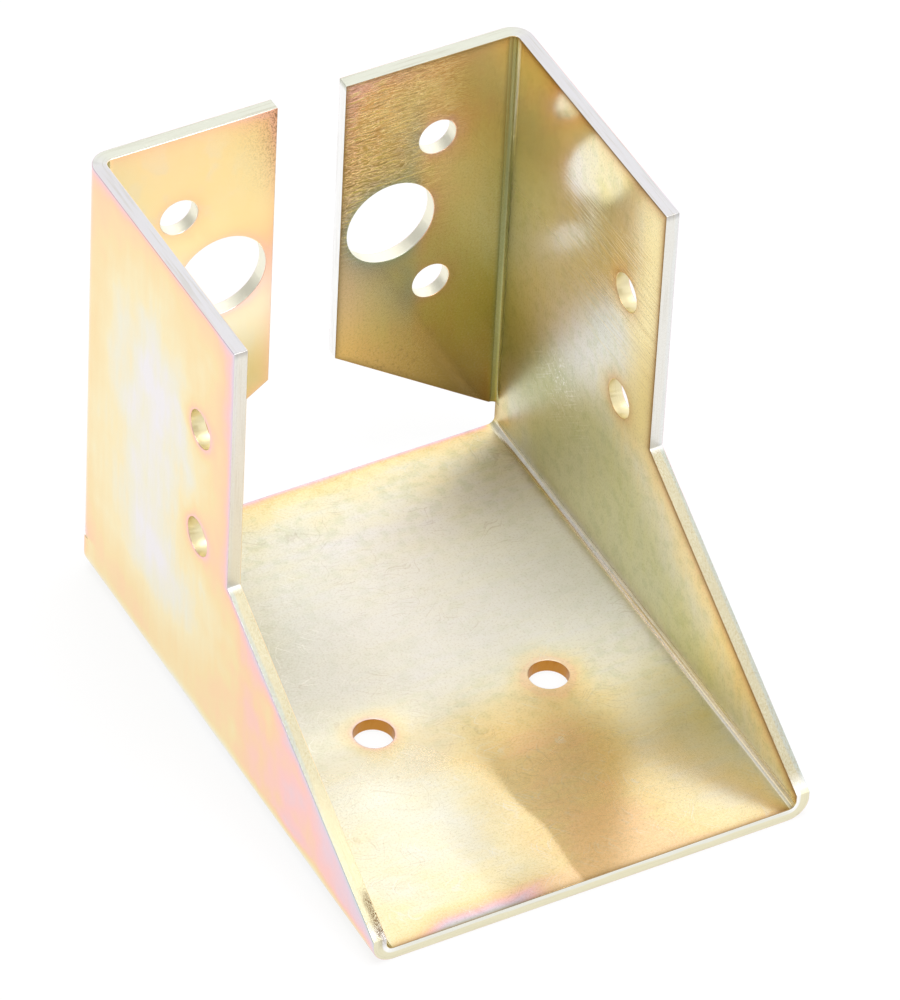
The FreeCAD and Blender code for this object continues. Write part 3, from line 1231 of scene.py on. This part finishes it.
def sheared_edge(finish):
    """Cut edges: pale metal in soft streaks that run along the cut, yellower on the slants."""
    material, s, at = new_finish("sheared_edge")
    look = EdgeLook
    sway, streak, grain = [s.noise(at.spot, **pattern) for pattern in (EDGE_SWAY, EDGE_STREAKS, EDGE_GRAIN)]
    depth = at.depth + (sway - NOISE_MIDDLE)
    band = s.ease(depth, *look.band_depth)
    slant = s.ease(at.out, *look.slant_out) * s.ease(at.along, *look.slant_along)
    top = s.ease(at.out, *look.top_out)
    left = s.ease(at.across, *look.left_across)
    tint = s.mix(at.seat, finish.edge, finish.edge_front)
    tint = s.mix(band * (look.band + look.band_seat * at.seat), tint, finish.edge_film)
    tint = s.mix(top, tint, s.mix(at.flange, finish.edge_top, finish.edge_pale))
    tint = s.mix(slant, tint, s.mix(band, finish.slant_out, finish.slant_in))
    lip = s.ease(at.along, *look.lip_along) * s.ease(depth, *look.lip_depth) * (1 - slant)
    tint = s.mix(lip, tint, finish.edge_film)
    streaked = s.ease(streak, *look.streak_levels) * (look.streak + look.streak_top * top)
    tint = s.mix(streaked, tint, finish.edge_dark)
    tint = s.mix(s.ease(grain, *look.grain_levels), tint, finish.edge_dark, share=look.grain)
    tint = s.mix(s.ease(grain, *look.slant_grain_levels) * slant, tint, finish.umber, share=look.slant_grain)
    nose = slant * left * s.ease(at.along, *look.nose_along)
    tint = s.mix(nose, tint, finish.bore, share=look.nose)
    torn = s.ease(s.gap(at, look.torn_spot), *look.torn_range) * left
    torn = torn * s.ease(at.depth + sway, *look.torn_depth) * s.ease(grain, *look.torn_levels)
    tint = s.mix(torn, tint, finish.soot)
    bore = s.mix(at.seat, s.mix(at.flange, finish.bore, finish.bore_pale), finish.burnt)
    tint = s.mix(fade(at.hole, look.bore_reach), tint, bore)
    height = grain * look.grain_height + streak * look.streak_height
    skin(s, tint, look.rough + look.rough_grain * grain, height)
    return material


class HANGER_OT_fold_sheet(Operator):
    """Punch, fold and plate the hanger's sheet"""

    bl_idname = "hanger.fold_sheet"
    bl_label = "Fold sheet"

    def execute(self, context):
        scene = context.scene
        blank = Blank(scene.hanger_sizes)
        bm = flat_sheet(blank)
        rule_lines(bm, blank)
        mark_panels(bm, blank)
        crease_rims(bm)
        note_distances(bm, blank)
        for vert in bm.verts:
            vert.co = blank.fold(vert.co)
        mesh = bpy.data.meshes.new("folded_sheet")
        bm.to_mesh(mesh)
        bm.free()
        piece = bpy.data.objects.new("folded_sheet", mesh)
        scene.collection.objects.link(piece)
        for finish in (outer_side, seat_side, left_side, right_side, sheared_edge):
            mesh.materials.append(finish(scene.hanger_finish))
        level = piece.modifiers.new("flat panels", "WEIGHTED_NORMAL")
        level.mode = "FACE_AREA"
        level.weight = PANEL_WEIGHT
        level.keep_sharp = True
        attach(piece, BODY)
        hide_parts(NODE)
        return {"FINISHED"}


def white_floor(studio):
    """Pale floor that shows white to the camera and in the metal, and keeps the part's shadow."""
    bm = bmesh.new()
    bmesh.ops.create_grid(bm, x_segments=1, y_segments=1, size=FLOOR_HALF)
    bmesh.ops.translate(bm, verts=bm.verts, vec=(0, 0, -FLOOR_DROP))
    mesh = bpy.data.meshes.new("floor")
    bm.to_mesh(mesh)
    bm.free()
    floor = bpy.data.objects.new("floor", mesh)
    bpy.context.scene.collection.objects.link(floor)
    material = bpy.data.materials.new("white_floor")
    s = Shader(material)
    paper = s.node("BsdfDiffuse", Color=studio.paper)
    glow = s.node("Emission", Color=WHITE, Strength=1.0)
    seen = sum(s.node("LightPath", output=f"Is {kind} Ray") for kind in ("Camera", "Glossy", "Transmission"))
    s.output(s.node("MixShader", i0=seen * studio.paper_glow, i1=paper, i2=glow))
    mesh.materials.append(material)


def white_world(studio):
    """Even studio light, brighter from the right."""
    world = bpy.data.worlds.new("studio")
    bpy.context.scene.world = world
    s = Shader(world)
    towards = s.parts(s.node("TexCoord", output=0), 1.0)[0]
    room = s.node("MapRange", {"interpolation_type": "SMOOTHSTEP"}, Value=towards, From_Min=-ROOM_EDGE,
                  From_Max=ROOM_EDGE, To_Min=studio.room_left, To_Max=studio.room_right)
    s.output(s.node("Background", Color=WHITE, Strength=room), "OutputWorld")


def overhead_lamp(studio):
    """Square area lamp that faces the part, given by the brightness of its face."""
    lamp = bpy.data.lights.new("overhead", "AREA")
    lamp.shape = "SQUARE"
    lamp.size = studio.lamp_side
    lamp.energy = studio.lamp_level * math.pi * studio.lamp_side * studio.lamp_side
    holder = bpy.data.objects.new("overhead", lamp)
    middle = Vector(studio.lamp_place)
    holder.matrix_world = Matrix.Translation(middle) @ middle.to_track_quat("Z", "Y").to_matrix().to_4x4()
    bpy.context.scene.collection.objects.link(holder)


def photo_camera(studio):
    """Camera at the photo's viewing angle."""
    away = Vector((math.sin(studio.azimuth) * math.cos(studio.elevation),
                   -math.cos(studio.azimuth) * math.cos(studio.elevation),
                   math.sin(studio.elevation)))
    right = Vector((0, 0, 1)).cross(away).normalized()
    up = away.cross(right)
    turn = Matrix.Rotation(studio.roll, 3, away)
    axes = Matrix((turn @ right, turn @ up, away)).transposed().to_4x4()
    lens = bpy.data.cameras.new("camera")
    lens.sensor_fit = "VERTICAL"
    lens.sensor_height = FRAME_HEIGHT
    lens.lens = studio.lens
    camera = bpy.data.objects.new("camera", lens)
    camera.matrix_world = Matrix.Translation(Vector(studio.aim) + away * studio.distance) @ axes
    bpy.context.scene.collection.objects.link(camera)
    bpy.context.scene.camera = camera


class HANGER_OT_studio(Operator):
    """Set up the floor, the light and the camera"""

    bl_idname = "hanger.studio"
    bl_label = "Set up studio"

    def execute(self, context):
        scene = context.scene
        scene.view_settings.view_transform = "Standard"
        for build in (white_floor, white_world, overhead_lamp, photo_camera):
            build(scene.hanger_studio)
        return {"FINISHED"}


class HANGER_PT_panel(Panel):
    """Lists the steps that dress the hanger"""

    bl_label = "Hanger"
    bl_idname = "HANGER_PT_panel"
    bl_space_type = "VIEW_3D"
    bl_region_type = "UI"
    bl_category = "Hanger"

    def draw(self, context):
        for operator in (HANGER_OT_fold_sheet, HANGER_OT_studio):
            self.layout.operator(operator.bl_idname)


CLASSES = (HangerSizes, HangerFinish, Studio, HANGER_OT_fold_sheet, HANGER_OT_studio, HANGER_PT_panel)


def register():
    for cls in CLASSES:
        bpy.utils.register_class(cls)
    bpy.types.Scene.hanger_sizes = PointerProperty(type=HangerSizes)
    bpy.types.Scene.hanger_finish = PointerProperty(type=HangerFinish)
    bpy.types.Scene.hanger_studio = PointerProperty(type=Studio)


def unregister():
    del bpy.types.Scene.hanger_studio
    del bpy.types.Scene.hanger_finish
    del bpy.types.Scene.hanger_sizes
    for cls in reversed(CLASSES):
        bpy.utils.unregister_class(cls)


def main():
    register()
    bpy.ops.hanger.fold_sheet()
    bpy.ops.hanger.studio()


if __name__ == "__main__":
    main()
